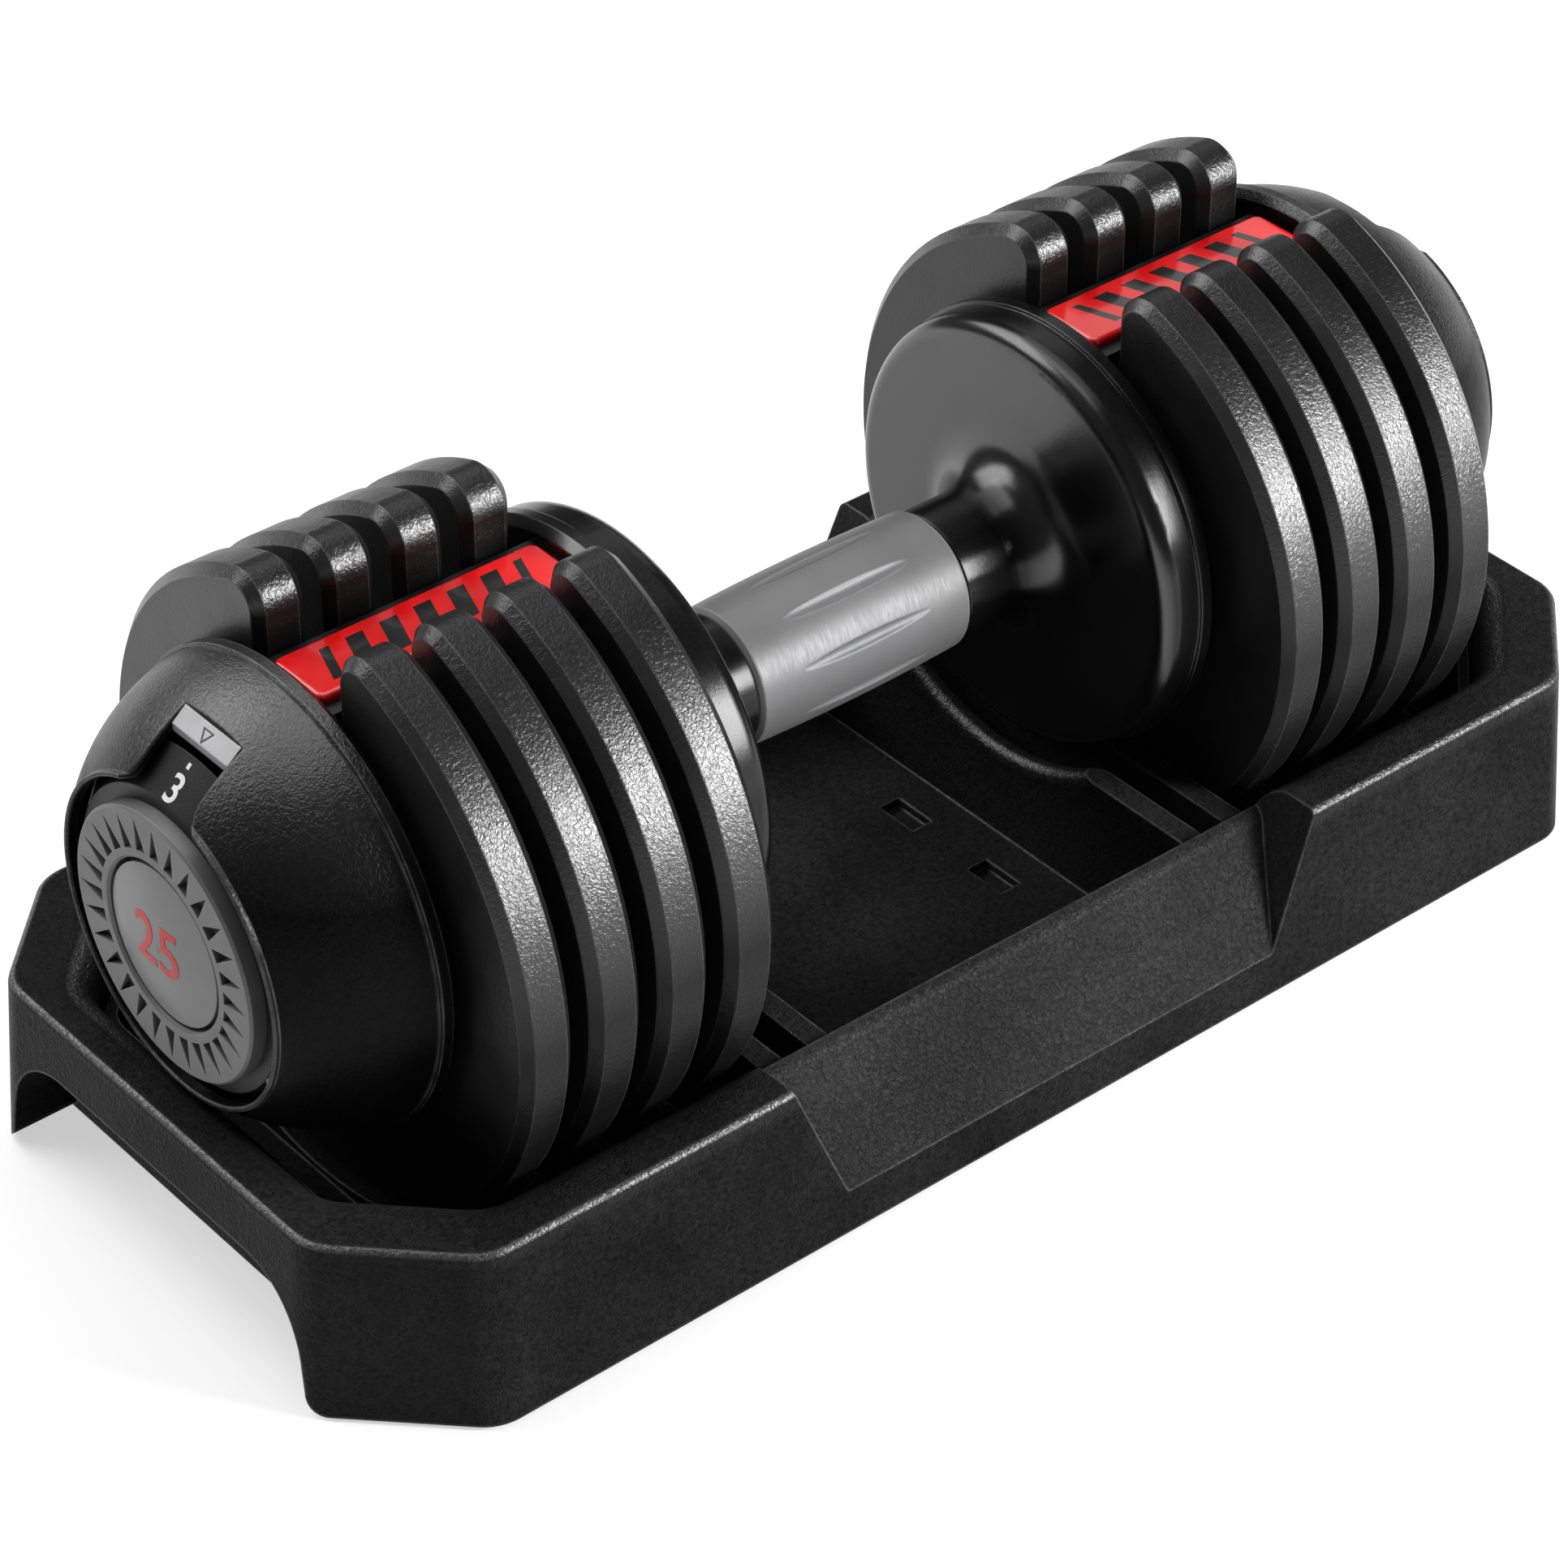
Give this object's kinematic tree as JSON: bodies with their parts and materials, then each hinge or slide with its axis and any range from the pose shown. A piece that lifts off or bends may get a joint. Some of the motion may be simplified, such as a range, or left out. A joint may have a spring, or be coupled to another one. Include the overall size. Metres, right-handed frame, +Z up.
{
  "type": "adjustable dumbbell",
  "caption": "Adjustable dumbbell with a twist grip that selects slotted weight plates, standing in its moulded storage tray.",
  "frame": {"origin": "middle of the tray's footprint, on the surface it stands on", "axes": "+X along the handle towards the end farther from the picture's camera, +Y to the back, +Z up"},
  "size_m": [0.3786, 0.174, 0.1534],
  "materials": {
    "plate_iron": "black satin coat, fine hide-like grain on the rim",
    "disc_plastic": "black, semi-gloss",
    "cap_plastic": "black, fine moulded grain",
    "label_red": "glossy red, bare",
    "pointer_silver": "satin",
    "box_steel": "black",
    "bush_brass": "turned",
    "bare_steel": "plain",
    "selector_plastic": "natural white",
    "scale_plastic": "black with white numbers",
    "dial_grey": "dark satin grey",
    "grip_metal": "satin with darker flutes",
    "tray_plastic": "black, fine moulded grain",
    "foot_rubber": "plain"
  },
  "bodies": {
    "storage_tray": {"tray": "tray_plastic", "tray_feet": "foot_rubber"},
    "plates_4": {"plate_4_left": "plate_iron", "plate_4_right": "plate_iron"},
    "plates_3": {"plate_3_left": "plate_iron", "plate_3_right": "plate_iron"},
    "plates_2": {"plate_2_left": "plate_iron", "plate_2_right": "plate_iron"},
    "plates_1": {"plate_1_left": "plate_iron", "plate_1_right": "plate_iron"},
    "core": {"inner_disc_left": "disc_plastic", "inner_disc_right": "disc_plastic", "inner_bush_left": "bush_brass", "inner_bush_right": "bush_brass", "core_box_left": "box_steel", "core_box_right": "box_steel", "label_left": "label_red", "label_right": "label_red", "end_plate_left": "cap_plastic", "end_plate_right": "cap_plastic", "end_bush_left": "bush_brass", "end_bush_right": "bush_brass", "end_cap_left": "cap_plastic", "end_cap_right": "cap_plastic", "pointer_left": "pointer_silver", "pointer_right": "pointer_silver", "detent_spring_left": "bare_steel", "detent_spring_right": "bare_steel", "cap_screws": "bare_steel"},
    "rotor": {"shaft": "bare_steel", "grip": "grip_metal", "dial_screws": "bare_steel", "selector_disc_1_left": "selector_plastic", "selector_disc_1_right": "selector_plastic", "selector_disc_2_left": "selector_plastic", "selector_disc_2_right": "selector_plastic", "selector_disc_3_left": "selector_plastic", "selector_disc_3_right": "selector_plastic", "selector_disc_4_left": "selector_plastic", "selector_disc_4_right": "selector_plastic", "dial_scale_left": "scale_plastic", "dial_scale_right": "scale_plastic", "dial_ring_left": "dial_grey", "dial_ring_right": "dial_grey", "dial_button_left": "dial_grey", "dial_button_right": "dial_grey", "detent_wheel_left": "bare_steel", "detent_wheel_right": "bare_steel"}
  },
  "joints": [
    {"name": "lift_at_25", "type": "slide", "parent": "storage_tray", "child": "plates_4", "axis": [0, 0, 1], "range_m": [0, 0.16]},
    {"name": "lift_at_20", "type": "slide", "parent": "plates_4", "child": "plates_3", "axis": [0, 0, 1], "range_m": [0, 0.16]},
    {"name": "lift_at_14", "type": "slide", "parent": "plates_3", "child": "plates_2", "axis": [0, 0, 1], "range_m": [0, 0.16]},
    {"name": "lift_at_9", "type": "slide", "parent": "plates_2", "child": "plates_1", "axis": [0, 0, 1], "range_m": [0, 0.16]},
    {"name": "lift_at_3", "type": "slide", "parent": "plates_1", "child": "core", "axis": [0, 0, 1], "range_m": [0, 0.16]},
    {"name": "handle_twist", "type": "hinge", "parent": "core", "child": "rotor", "pos_m": [0, 0, 0.0872], "axis": [1, 0, 0], "range_deg": [0, 240], "deforming": ["detent_spring_left", "detent_spring_right"]}
  ]
}
